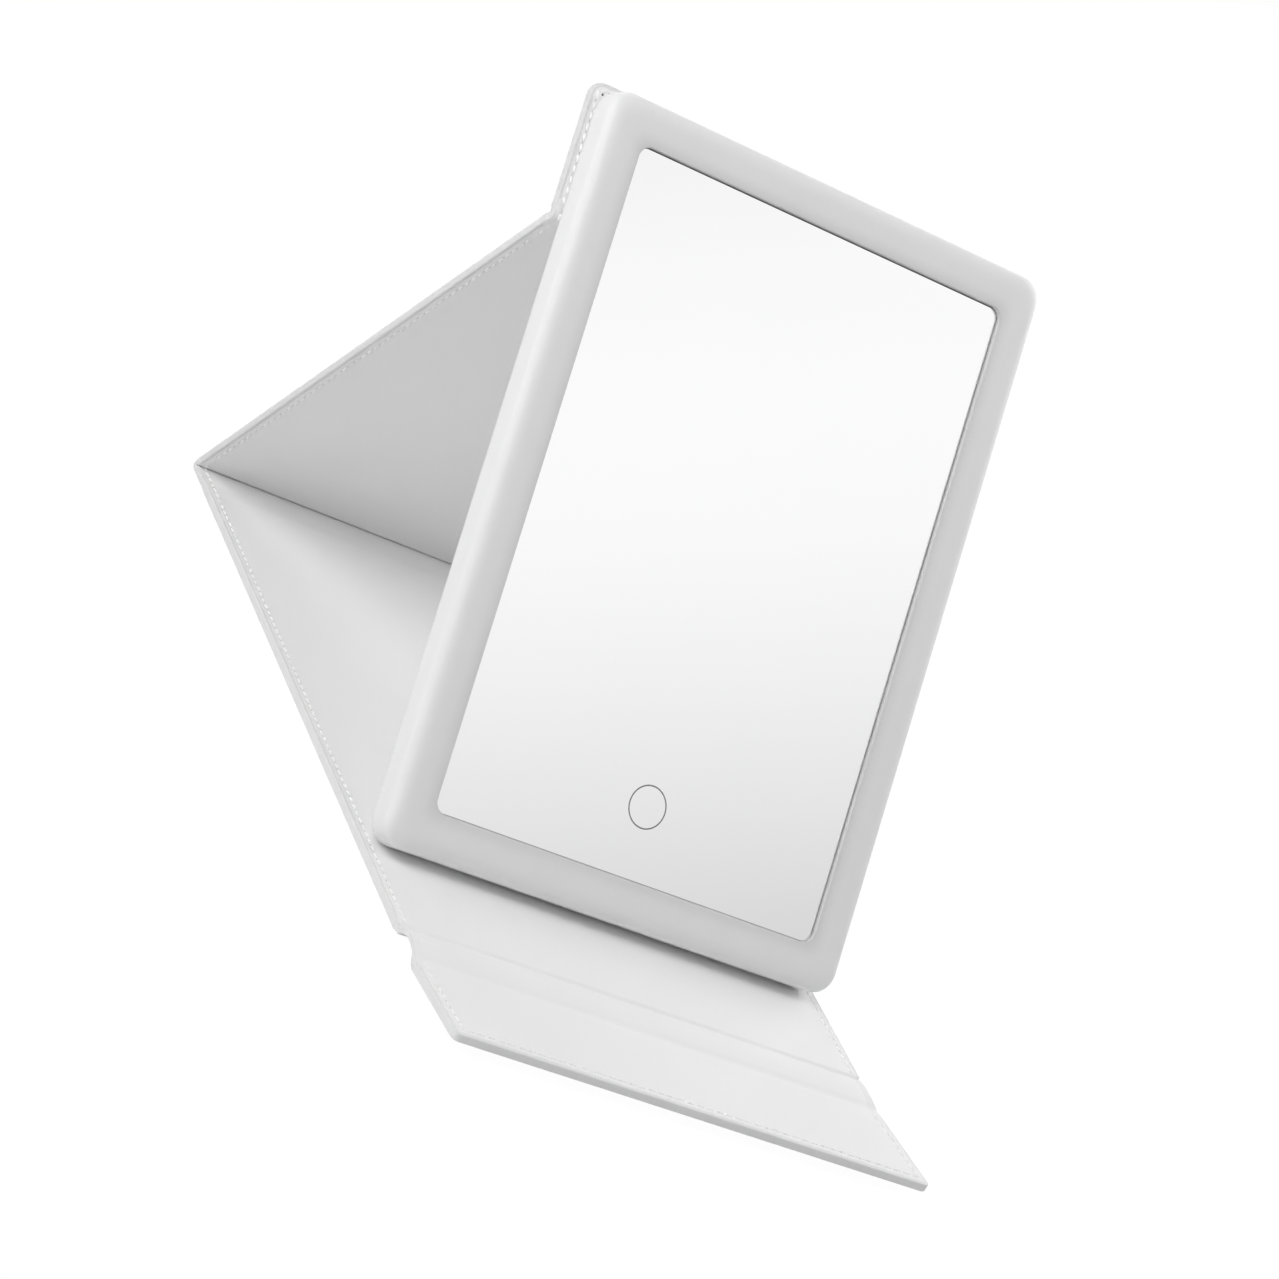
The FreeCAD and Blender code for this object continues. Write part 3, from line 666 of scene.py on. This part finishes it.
class Panel(Placed):
    """A stiff panel of the folio."""

    def __init__(self, name, body, towards, low_corner, high_corner, open_end=None,
                 outer_proud=0.0, wear_and_shade=LIGHT_WEAR_AND_SHADE, row=STITCH_INSET):
        super().__init__(name + "_lining", name + "_skin", towards)
        self.name = name
        self.body = body
        self.low_corner = low_corner
        self.high_corner = high_corner
        self.open_end = open_end
        self.outer_proud = outer_proud
        self.wear_and_shade = wear_and_shade
        self.row = row

    def corners(self, inset, fold_inset):
        """The panel's corner arcs, drawn in by an inset, which is another one at a fold."""
        low = self.low + (inset if self.open_end == "low" else fold_inset)
        high = self.high - (inset if self.open_end == "high" else fold_inset)
        low_radius = max(self.low_corner - inset, LEAST_CORNER)
        high_radius = max(self.high_corner - inset, LEAST_CORNER)
        return rounded_corners(self.half - inset, low, high, low_radius, high_radius, CORNER_STEPS)

    def ring(self, inset, height, fold_inset=None, dip=0.0):
        """A ring of points round the panel at a height, dipped where stitching runs."""
        arcs = self.corners(inset, inset if fold_inset is None else fold_inset)
        outline = self.corners(0.0, 0.0)
        points = []
        for index, arc in enumerate(arcs):
            following = (index + 1) % len(arcs)
            side = outline[following][0] - outline[index][-1]
            count = max(1, round(side.length / OUTLINE_STEP))
            run = [arc[-1].lerp(arcs[following][0], step / count) for step in range(1, count)]
            points += arc + run
        made = []
        for point in points:
            depth = dip if self.stitched(point) else 0.0
            waver = EDGE_WAVER * noise.noise(Vector((point.x, point.y, self.low)) * WAVER_SCALE)
            made.append(self.place(point.x + math.copysign(waver, point.x), point.y, height + depth))
        return made

    def stitched(self, point):
        """True along the edges that are sewn, which the folds aren't."""
        reach = self.row + CHANNEL_WIDTH
        if self.open_end != "low" and point.y < self.low + reach:
            return False
        return not (self.open_end != "high" and point.y > self.high - reach)


def arc_steps(radius):
    """(drawn in, dropped) steps of a quarter round, from the flat to the side."""
    steps = []
    for step in range(ARC_STEPS + 1):
        angle = math.radians(90 * step / ARC_STEPS)
        steps.append((radius * (1 - math.sin(angle)), radius * (1 - math.cos(angle))))
    return steps


def channel_steps(row):
    """(inset, dip) steps across the pressed channel that a row of stitches lies in."""
    steps = []
    for step in range(CHANNEL_STEPS + 1):
        share = 2 * step / CHANNEL_STEPS - 1
        dip = CHANNEL_DEPTH * (1 + math.cos(math.pi * share)) / 2
        steps.append((row + share * CHANNEL_WIDTH / 2, dip))
    return steps


def make_skin(panel):
    """The outer leather of a panel: flat outside, round edge, turned over to a narrow hem inside."""
    floor = panel.outside + SKIN_THICK - SEAM_GAP
    rings = [panel.ring(HEM, floor), panel.ring(HEM, panel.inside - SEAM_DEPTH)]
    for drawn, dropped in arc_steps(HEM_ROUND)[::-1]:
        rings.append(panel.ring(HEM - drawn, panel.inside - dropped))
    before_edge = len(rings)
    for drawn, dropped in arc_steps(EDGE_ROUND):
        rings.append(panel.ring(drawn, panel.inside - dropped, drawn * FOLD_END_SHARE))
    for drawn, dropped in arc_steps(EDGE_ROUND)[::-1]:
        rings.append(panel.ring(drawn, panel.outside + dropped, drawn * FOLD_END_SHARE))
    after_edge = len(rings)
    for inset, dip in channel_steps(panel.row):
        rings.append(panel.ring(inset, panel.outside, dip=dip))
    # Worn look and painted shade on the rounded edge rings only
    wears_and_shades = []
    for index, ring in enumerate(rings):
        wears_and_shades += [panel.wear_and_shade if before_edge <= index < after_edge else 0.0] * len(ring)
    made = make_loft(panel.name + "_cover", rings, ["outer_leather"])
    hold_value(made, "edge_wear_and_shade", wears_and_shades)
    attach(made, panel.body)
    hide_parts(panel.name + "_skin")


def make_lining(panel):
    """The inner leather of a panel: inside the hem at the sewn edges, and up to the end at a fold."""
    top = panel.inside + LINING_PROUD
    edge = HEM + SEAM_GAP
    rings = [panel.ring(edge, panel.inside - SKIN_THICK, LINING_END)]
    for drawn, dropped in arc_steps(LINING_ROUND)[::-1]:
        rings.append(panel.ring(edge + drawn, top - dropped, LINING_END + drawn))
    for inset, dip in channel_steps(panel.row):
        rings.append(panel.ring(inset, top, dip=-dip))
    made = make_loft(panel.name + "_inner_leather", rings, ["lining_leather"])
    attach(made, panel.body)
    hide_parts(panel.name + "_lining")


def seam_lines(panel):
    """The lines that the stitching follows on a panel, in the panel's own plane."""
    half = panel.half - panel.row
    low = panel.low + (panel.row if panel.open_end == "low" else 0.0)
    high = panel.high - (panel.row if panel.open_end == "high" else 0.0)
    left_low = Vector((-half, low))
    left_high = Vector((-half, high))
    right_low = Vector((half, low))
    right_high = Vector((half, high))
    if panel.open_end == "high":
        return [[left_low, left_high, right_high, right_low]]
    if panel.open_end == "low":
        return [[left_high, left_low, right_low, right_high]]
    return [[left_low, left_high], [right_low, right_high]]


def stitch_places(line):
    """(middle, step) of evenly spaced stitches along a line of straight runs."""
    places = []
    for start, end in zip(line, line[1:]):
        run = end - start
        count = max(1, round(run.length / STITCH_PITCH))
        for index in range(count):
            places.append((start + run * ((index + 0.5) / count), run / count))
    return places


def stitch_points(middle, along, out, proud):
    """Rings of one stitch: a slanted length of thread whose ends dive into the leather."""
    along = Matrix.Rotation(math.radians(STITCH_SLANT), 3, out) @ along
    side = out.cross(along)
    points = []
    for step in range(THREAD_STEPS + 1):
        share = 2 * step / THREAD_STEPS - 1
        lift = proud - THREAD_RADIUS * (1 + THREAD_DIVE * share ** THREAD_DIVE_CURVE)
        centre = middle + along * (share * STITCH_LENGTH / 2) + out * lift
        for corner in range(THREAD_SIDES):
            angle = 2 * math.pi * corner / THREAD_SIDES
            points.append(centre + (side * math.cos(angle) + out * math.sin(angle)) * THREAD_RADIUS)
    return points


def hole_points(middle, along, out, radius=HOLE_RADIUS, top=HOLE_PROUD - CHANNEL_DEPTH):
    """Two rings of a dark plug, painted shade, at a needle hole such as the one between two stitches."""
    side = out.cross(along)
    points = []
    for height in (-HOLE_DEEP, top):
        for corner in range(HOLE_SIDES):
            angle = 2 * math.pi * corner / HOLE_SIDES
            round_way = along * math.cos(angle) + side * math.sin(angle)
            points.append(middle + round_way * radius + out * height)
    return points


def make_stitches(name, places):
    """One mesh of stitches and of dark plugs, painted shade, at their needle holes, from (middle, step, outward,
    proud) places.
    """
    points = []
    faces = []
    face_kinds = []
    for middle, step, out, proud in places:
        along = step.normalized()
        stitch = loft_faces(THREAD_STEPS + 1, THREAD_SIDES, len(points))
        points += stitch_points(middle, along, out, proud)
        hole = loft_faces(2, HOLE_SIDES, len(points))
        points += hole_points(middle + step / 2, along, out)
        faces += stitch + hole
        face_kinds += [0] * len(stitch) + [1] * len(hole)
    return make_object(name, points, faces, ["thread", "needle_hole"], face_kinds)


def make_panel_stitches(panel):
    """The rows of stitches along a panel's sewn edges, on both of its faces."""
    places = []
    for line in seam_lines(panel):
        for middle, step in stitch_places(line):
            way = panel.axes @ step.to_3d()
            inner = panel.place(middle.x, middle.y, panel.inside + LINING_PROUD)
            outer = panel.place(middle.x, middle.y, panel.outside)
            places.append((inner, way, panel.facing, THREAD_PROUD))
            places.append((outer, way, -panel.facing, panel.outer_proud))
    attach(make_stitches(panel.name + "_stitches", places), panel.body)


def make_corner_holes(panel):
    """A dark plug, painted shade, at the open needle hole inside the row at each upper corner of a panel."""
    points = []
    faces = []
    for side in (-1, 1):
        x = side * (panel.half - CORNER_HOLE_INSET)
        middle = panel.place(x, panel.high - CORNER_HOLE_BELOW, panel.inside + LINING_PROUD)
        faces += loft_faces(2, HOLE_SIDES, len(points))
        points += hole_points(middle, ACROSS, panel.facing, CORNER_HOLE_RADIUS, HOLE_PROUD)
    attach(make_object(panel.name + "_corner_holes", points, faces, ["open_hole"]), panel.body)


def run_lengths(line):
    """The length along a line at each of its points."""
    lengths = [0.0]
    for before, after in zip(line, line[1:]):
        lengths.append(lengths[-1] + (after - before).length)
    return lengths


class Strip:
    """A soft strip of leather: a line along its outer face in the YZ plane, and its sizes there."""

    def __init__(self, line, thicks, halves, outs=None, ripple=0.0, wear_and_shade=LIGHT_WEAR_AND_SHADE, row=STITCH_INSET):
        self.line = line
        self.thicks = thicks
        self.halves = halves
        self.ripple = ripple
        self.wear_and_shade = wear_and_shade
        self.row = row
        self.lengths = run_lengths(line)
        self.outs = outs or [self.square_to(index) for index in range(len(line))]

    def square_to(self, index):
        """The direction square to the line, on the side that the inner leather shows."""
        before = self.line[max(index - 1, 0)]
        after = self.line[min(index + 1, len(self.line) - 1)]
        return ACROSS.cross(after - before).normalized()

    def columns(self, half, edge):
        """(x, dip) across the flat of the strip, with a channel for the stitches at both sides."""
        side = [(half - edge, 0.0)]
        side += [(half - inset, dip) for inset, dip in channel_steps(self.row)]
        inner = side[-1][0]
        middle = [(inner * (1 - 2 * step / STRIP_COLUMNS), 0.0) for step in range(1, STRIP_COLUMNS)]
        return side + middle + [(-x, dip) for x, dip in reversed(side)]

    def ring(self, index):
        """Points round the strip at one place: inner face, side, outer face and other side."""
        out = self.outs[index]
        half = self.halves[index]
        thick = self.thicks[index] / 2
        centre = self.line[index] + out * thick
        edge = min(EDGE_ROUND, STRIP_EDGE_SHARE * thick)
        columns = self.columns(half, edge)
        above_lap = self.thicks[index] - SPINE_OVERLAP_THICK
        ripple = self.ripple * eased(above_lap / (STRIP_THICK - SPINE_OVERLAP_THICK))
        side = [(half - drawn, thick - dropped) for drawn, dropped in arc_steps(edge)[1:]]
        side += [(x, -up) for x, up in reversed(side)]
        points = []
        for x, dip in columns:
            wave = ripple * noise.noise(Vector((x, centre.y, centre.z)) * WAVER_SCALE)
            points.append(centre + ACROSS * x + out * (thick - dip + wave))
        points += [centre - ACROSS * x + out * up for x, up in side]
        points += [centre + ACROSS * x - out * (thick - dip) for x, dip in reversed(columns)]
        points += [centre + ACROSS * x + out * up for x, up in reversed(side)]
        return points

    def wears_and_shades(self):
        """The worn look and painted shade of each point: none on the two flat sides, and the strip's own at its
        edges.
        """
        flat = len(self.columns(self.halves[0], 0.0))
        edge = len(self.ring(0)) // 2 - flat
        return ([0.0] * flat + [self.wear_and_shade] * edge) * 2 * len(self.line)

    def face_kinds(self):
        """1 for the faces of the inner leather, and 0 for the rest and the two ends."""
        around = len(self.ring(0))
        inner = len(self.columns(self.halves[0], 0.0)) - 1
        return ([1] * inner + [0] * (around - inner)) * (len(self.line) - 1) + [0, 0]

    def stitches(self, start, end):
        """Places for stitches along both edges, on both faces, between two lengths."""
        places = []
        count = max(1, round((end - start) / STITCH_PITCH))
        for step in range(count):
            target = start + (end - start) * (step + 0.5) / count
            index = min(range(len(self.lengths)), key=lambda i: abs(self.lengths[i] - target))
            out = self.outs[index]
            way = out.cross(ACROSS) * ((end - start) / count)
            across = ACROSS * (self.halves[index] - self.row)
            outer = self.line[index]
            inner = outer + out * self.thicks[index]
            for side in (-1, 1):
                places.append((inner + across * side, way, out, THREAD_PROUD))
                places.append((outer + across * side, way, -out, 0.0))
        return places


def make_strip(name, strip, sewn, nodes):
    """Build a strip and, if it is sewn, its stitches."""
    rings = [strip.ring(index) for index in range(len(strip.line))]
    made = make_loft(name, rings, ["outer_leather", "lining_leather"], strip.face_kinds())
    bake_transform(made)
    hold_value(made, "edge_wear_and_shade", strip.wears_and_shades())
    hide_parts(*nodes)
    if sewn is None:
        return
    stitches = make_stitches(name + "_stitches", strip.stitches(*sewn))
    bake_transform(stitches)


def joint_place(name):
    """A point on a joint's axis."""
    found = [joint for joint in frame["joints"] if joint["name"] == name]
    return Vector(found[0]["pos_m"])


def bent_line(axis, radius, first_leg, last_leg):
    """A line along one panel, round a fold's axis and along the next, from (way, length, out) legs."""
    first_way, first_length, first_out = first_leg
    last_way, last_length, last_out = last_leg
    turn = first_out.angle(last_out)
    normal = first_out.cross(last_out).normalized()
    arc = [axis + Matrix.Rotation(turn * step / FOLD_ARC_STEPS, 3, normal) @ first_out * radius
           for step in range(FOLD_ARC_STEPS + 1)]
    first = divided(arc[0] + first_way * first_length, arc[0], STRIP_STEP)
    last = divided(arc[-1] + last_way * last_length, arc[-1], STRIP_STEP)
    return first + arc + last[::-1]


def eased(share):
    """0 to 1 with a soft start and end, and level beyond them."""
    return (1 - math.cos(math.pi * min(max(share, 0.0), 1.0))) / 2


def sleeved(lengths, end_value, middle_value, first_ramp, last_ramp):
    """A size along a strip that grows at both ends to a sleeve over the panel there."""
    values = []
    for length in lengths:
        left = lengths[-1] - length
        thinned = eased((length - SLEEVE) / first_ramp) * eased((left - SLEEVE) / last_ramp)
        dip = SLEEVE_DIP * (1 - eased(min(length, left) / SLEEVE_END))
        values.append(end_value + (middle_value - end_value) * thinned - dip)
    return values


def sleeved_strip(line, thicks, halves, wear_and_shade, row):
    """A strip whose outer face is a little proud of the panels, with ends that dip into them."""
    plain = Strip(line, thicks, halves)
    raised = []
    grown = []
    for index, length in enumerate(plain.lengths):
        left = plain.lengths[-1] - length
        rise = SLEEVE_PROUD - SLEEVE_DIP * (1 - eased(min(length, left) / SLEEVE_END))
        raised.append(line[index] - plain.outs[index] * rise)
        grown.append(thicks[index] + rise)
    return Strip(raised, grown, halves, plain.outs, wear_and_shade=wear_and_shade, row=row)


def panel_thick(panel):
    """The thickness of a sleeve over a panel, both of its faces included."""
    return panel.inside + LINING_PROUD + SLEEVE_PROUD - panel.outside


def fold_halves(panel, lengths, first_ramp, last_ramp):
    """Half the width along a fold, which is drawn in a little between its two sleeves."""
    return sleeved(lengths, panel.half + SLEEVE_PROUD, panel.half - FOLD_DRAWN_IN, first_ramp, last_ramp)


def make_rear_spine(base, strut):
    """From the base panel, along the table, round the rear fold and onto the strut."""
    axis = joint_place("strut_fold")
    outwards = -strut.facing
    radius = FOLD_INNER + STRIP_THICK
    turn = outwards.angle(-UPWARDS)
    run = axis.y - base.high + SLEEVE
    line = bent_line(axis, radius, (TOWARDS_FRONT, run, -UPWARDS),
                     (strut.along, FOLD_LEG + SLEEVE, outwards))
    lengths = run_lengths(line)
    full = panel_thick(base)
    wanted = sleeved(lengths, full, full - REAR_SPINE_LOW, BASE_RAMP, FOLD_RAMP)
    thicks = []
    for length, thick in zip(lengths, wanted):
        before = run - length
        after = length - run - radius * turn
        room = radius - MITRE_ROUND + max(before, after, 0.0) / math.tan(turn / 2)
        thicks.append(min(thick, room))
    halves = fold_halves(base, lengths, BASE_RAMP, FOLD_RAMP)
    strip = sleeved_strip(line, thicks, halves, SPINE_WEAR_AND_SHADE, base.row)
    make_strip("rear_spine", strip, (SLEEVE, run),
               ("rear_spine_skin", "rear_spine_lining", "rear_fold_leather"))


def make_hanger_fold(strut, hanger):
    """From the strut's upper end over the fold onto the panel on the mirror's back."""
    axis = joint_place("mirror_fold")
    strut_down = -strut.along
    reach = FOLD_LEG + SLEEVE
    line = bent_line(axis, FOLD_INNER, (strut_down, reach, strut.facing),
                     (hanger.along, reach, hanger.facing))
    lengths = run_lengths(line)
    full = panel_thick(strut)
    thicks = sleeved(lengths, full, full, FOLD_RAMP, FOLD_RAMP)
    halves = fold_halves(strut, lengths, FOLD_RAMP, FOLD_RAMP)
    strip = sleeved_strip(line, thicks, halves, FULL_WEAR_AND_SHADE, (strut.row + hanger.row) / 2)
    make_strip("hanger_fold", strip, (SLEEVE, lengths[-1] - SLEEVE),
               ("hanger_fold_leather",))


def valley(length, width):
    """A soft groove that starts at a panel's end: 1 at its middle, 0 at its sides."""
    return 1 - eased(abs(2 * length / width - 1))


class TopSpine:
    """The soft spine between the base panel and the flap, which arches up off the table."""

    def __init__(self, base, flap):
        self.base = base
        self.flap = flap
        self.first = base.place(0, base.low, base.inside + LINING_PROUD)
        self.last = flap.place(0, flap.high, flap.inside + LINING_PROUD)
        self.span = (self.last - self.first).length

    def upper(self, length):
        """The place on the upper face at a length from the base panel's end."""
        beyond = length - self.span
        if length < 0:
            return self.base.place(0, self.base.low - length, self.base.inside + LINING_PROUD)
        if beyond > 0:
            return self.flap.place(0, self.flap.high - beyond, self.flap.inside + LINING_PROUD)
        share = length / self.span
        rise = SPINE_ARCH * eased(min(share / SPINE_ARCH_TOP, (1 - share) / (1 - SPINE_ARCH_TOP)))
        rise -= SPINE_REAR_CREASE * valley(length, SPINE_REAR_CREASE_WIDTH)
        rise -= SPINE_FRONT_CREASE * valley(-beyond, SPINE_FRONT_CREASE_WIDTH)
        return self.first.lerp(self.last, share) + UPWARDS * rise

    def thick(self, length):
        """Thin over the panels, as thick as they are at their ends, and soft between them."""
        free = min(length, self.span - length)
        full = panel_thick(self.base)
        if free < 0:
            return full + (SPINE_OVERLAP_THICK - full) * eased(-free / SPINE_OVERLAP_RAMP)
        return full + (STRIP_THICK - full) * eased(free / SPINE_TAPER)

    def strip(self, start, end):
        """The part of the spine between two lengths."""
        count = round((end - start) / STRIP_STEP)
        line = []
        thicks = []
        halves = []
        for step in range(count + 1):
            length = start + (end - start) * step / count
            lapped = max(-length, length - self.span, 0.0)
            upper = self.upper(length)
            thick = min(self.thick(length), upper.z)
            proud = SPINE_OVERLAP_PROUD * (1 - lapped / SPINE_OVERLAP)
            line.append(upper + UPWARDS * (proud - thick))
            thicks.append(thick)
            share = min(max(length / self.span, 0.0), 1.0)
            drawn = SPINE_DRAWN_IN * math.sin(math.pi * share ** SPINE_DRAWN_EARLY)
            inside_hem = (HEM + SEAM_GAP) * eased(lapped / SPINE_OVERLAP_RAMP)
            halves.append(self.base.half - drawn - inside_hem)
        return Strip(line, thicks, halves, [UPWARDS] * len(line), SPINE_RIPPLE)


def make_top_spine(base, flap):
    """The top spine in two halves, because its two folds bend separately."""
    spine = TopSpine(base, flap)
    middle = spine.span / 2
    make_strip("top_spine_rear", spine.strip(-SPINE_OVERLAP, middle), None,
               ("base_fold_leather", "top_spine_skin"))
    make_strip("top_spine_front", spine.strip(middle, spine.span + SPINE_OVERLAP), None,
               ("flap_fold_leather", "top_spine_lining"))


def make_folio():
    """The leather folio: four stiff panels with their stitches, and the soft strips between them."""
    base = Panel("base", "base", UPWARDS, LEAST_CORNER, FOLD_CORNER)
    strut = Panel("strut", "strut", TOWARDS_FRONT, FOLD_CORNER, FOLD_CORNER,
                  outer_proud=THREAD_PROUD, wear_and_shade=FULL_WEAR_AND_SHADE, row=STRUT_ROW)
    hanger = Panel("hanger", "mirror", TOWARDS_FRONT, FOLD_CORNER, HANGER_CORNER, open_end="high",
                   outer_proud=THREAD_PROUD, wear_and_shade=FULL_WEAR_AND_SHADE, row=HANGER_ROW)
    flap = Panel("flap", "flap", UPWARDS, FLAP_CORNER, LEAST_CORNER, open_end="low", row=FLAP_ROW)
    for panel in (base, strut, hanger, flap):
        make_skin(panel)
        make_lining(panel)
        make_panel_stitches(panel)
    make_corner_holes(hanger)
    make_rear_spine(base, strut)
    make_hanger_fold(strut, hanger)
    make_top_spine(base, flap)


class Backdrop(Nodes):
    """The nodes of the floor or the world, which look white and light the object less."""

    def __init__(self, owner):
        super().__init__(owner)
        self.tree.nodes.clear()

    def seen_rays(self):
        """1 for rays that show the background, also mirrored or through glass, and 1 for the camera's."""
        path = self.node("LightPath").outputs
        camera = path["Is Camera Ray"]
        mirrored = self.ordered("Math", camera, path["Is Glossy Ray"], operation="MAXIMUM")
        seen = self.ordered("Math", mirrored, path["Is Transmission Ray"], operation="MAXIMUM")
        return seen, camera

    def matt(self, tone):
        return self.node("BsdfDiffuse", Color=opaque(grey(tone))).outputs[0]

    def sky(self, colour, strength=1.0):
        return self.node("Background", Color=colour, Strength=strength).outputs[0]


def make_floor():
    """A pale floor that shows white and keeps a soft shadow."""
    half = FLOOR_SIZE / 2
    corners = [(-half, -half, -FLOOR_DROP), (half, -half, -FLOOR_DROP),
               (half, half, -FLOOR_DROP), (-half, half, -FLOOR_DROP)]
    mesh = bpy.data.meshes.new("floor")
    mesh.from_pydata(corners, [], [(0, 1, 2, 3)])
    floor = bpy.data.objects.new("floor", mesh)
    bpy.context.scene.collection.objects.link(floor)
    material = bpy.data.materials.new("floor")
    nodes = Backdrop(material)
    glow = nodes.node("Emission", Strength=FLOOR_WHITE).outputs[0]
    shown = nodes.ordered("AddShader", glow, nodes.matt(FLOOR_SHADOW))
    seen, _ = nodes.seen_rays()
    surface = nodes.ordered("MixShader", seen, nodes.matt(FLOOR_TONE), shown)
    nodes.node("OutputMaterial", Surface=surface)
    mesh.materials.append(material)


def make_world():
    """Even soft light, a white background, and a pale gradient for reflections."""
    world = bpy.data.worlds.new("studio")
    bpy.context.scene.world = world
    nodes = Backdrop(world)
    white = opaque(grey(1.0))
    way = nodes.node("TexCoord").outputs["Generated"]
    height = nodes.node("SeparateXYZ", Vector=way).outputs["Z"]
    fade = nodes.node("MapRange", Value=height, From_Min=REFLECTED_LOW, From_Max=REFLECTED_HIGH)
    mirrored = nodes.sky(nodes.ramp(fade.outputs[0], REFLECTED))
    seen, from_camera = nodes.seen_rays()
    shown = nodes.ordered("MixShader", from_camera, mirrored, nodes.sky(white))
    surface = nodes.ordered("MixShader", seen, nodes.sky(white, AMBIENT), shown)
    nodes.node("OutputWorld", Surface=surface)


def make_softbox(name, place, size, power):
    """A large square lamp that looks at the middle of the object."""
    data = bpy.data.lights.new(name, "AREA")
    data.size = size
    data.energy = power
    lamp = bpy.data.objects.new(name, data)
    lamp.location = place
    lamp.visible_glossy = name not in UNMIRRORED
    middle = (cad_box[0] + cad_box[1]) / 2
    lamp.rotation_euler = (middle - Vector(place)).to_track_quat("-Z", "Y").to_euler()
    bpy.context.scene.collection.objects.link(lamp)


def make_camera():
    """The camera at the photograph's place, rolled as the photograph is."""
    data = bpy.data.cameras.new("camera")
    data.lens = CAMERA_LENS
    data.sensor_width = SENSOR_WIDTH
    camera = bpy.data.objects.new("camera", data)
    forward = (CAMERA_AIM - CAMERA_PLACE).normalized()
    level = forward.cross(UPWARDS).normalized()
    right = Matrix.Rotation(-math.radians(CAMERA_ROLL), 3, forward) @ level
    up = right.cross(forward)
    camera.matrix_world = Matrix.Translation(CAMERA_PLACE) @ Matrix(
        (right, up, -forward)).transposed().to_4x4()
    bpy.context.scene.collection.objects.link(camera)
    bpy.context.scene.camera = camera


dress_nodes()
make_frame()
make_folio()
make_floor()
make_world()
for lamp in LAMPS:
    make_softbox(*lamp)
make_camera()
bpy.context.scene.view_settings.view_transform = "Standard"
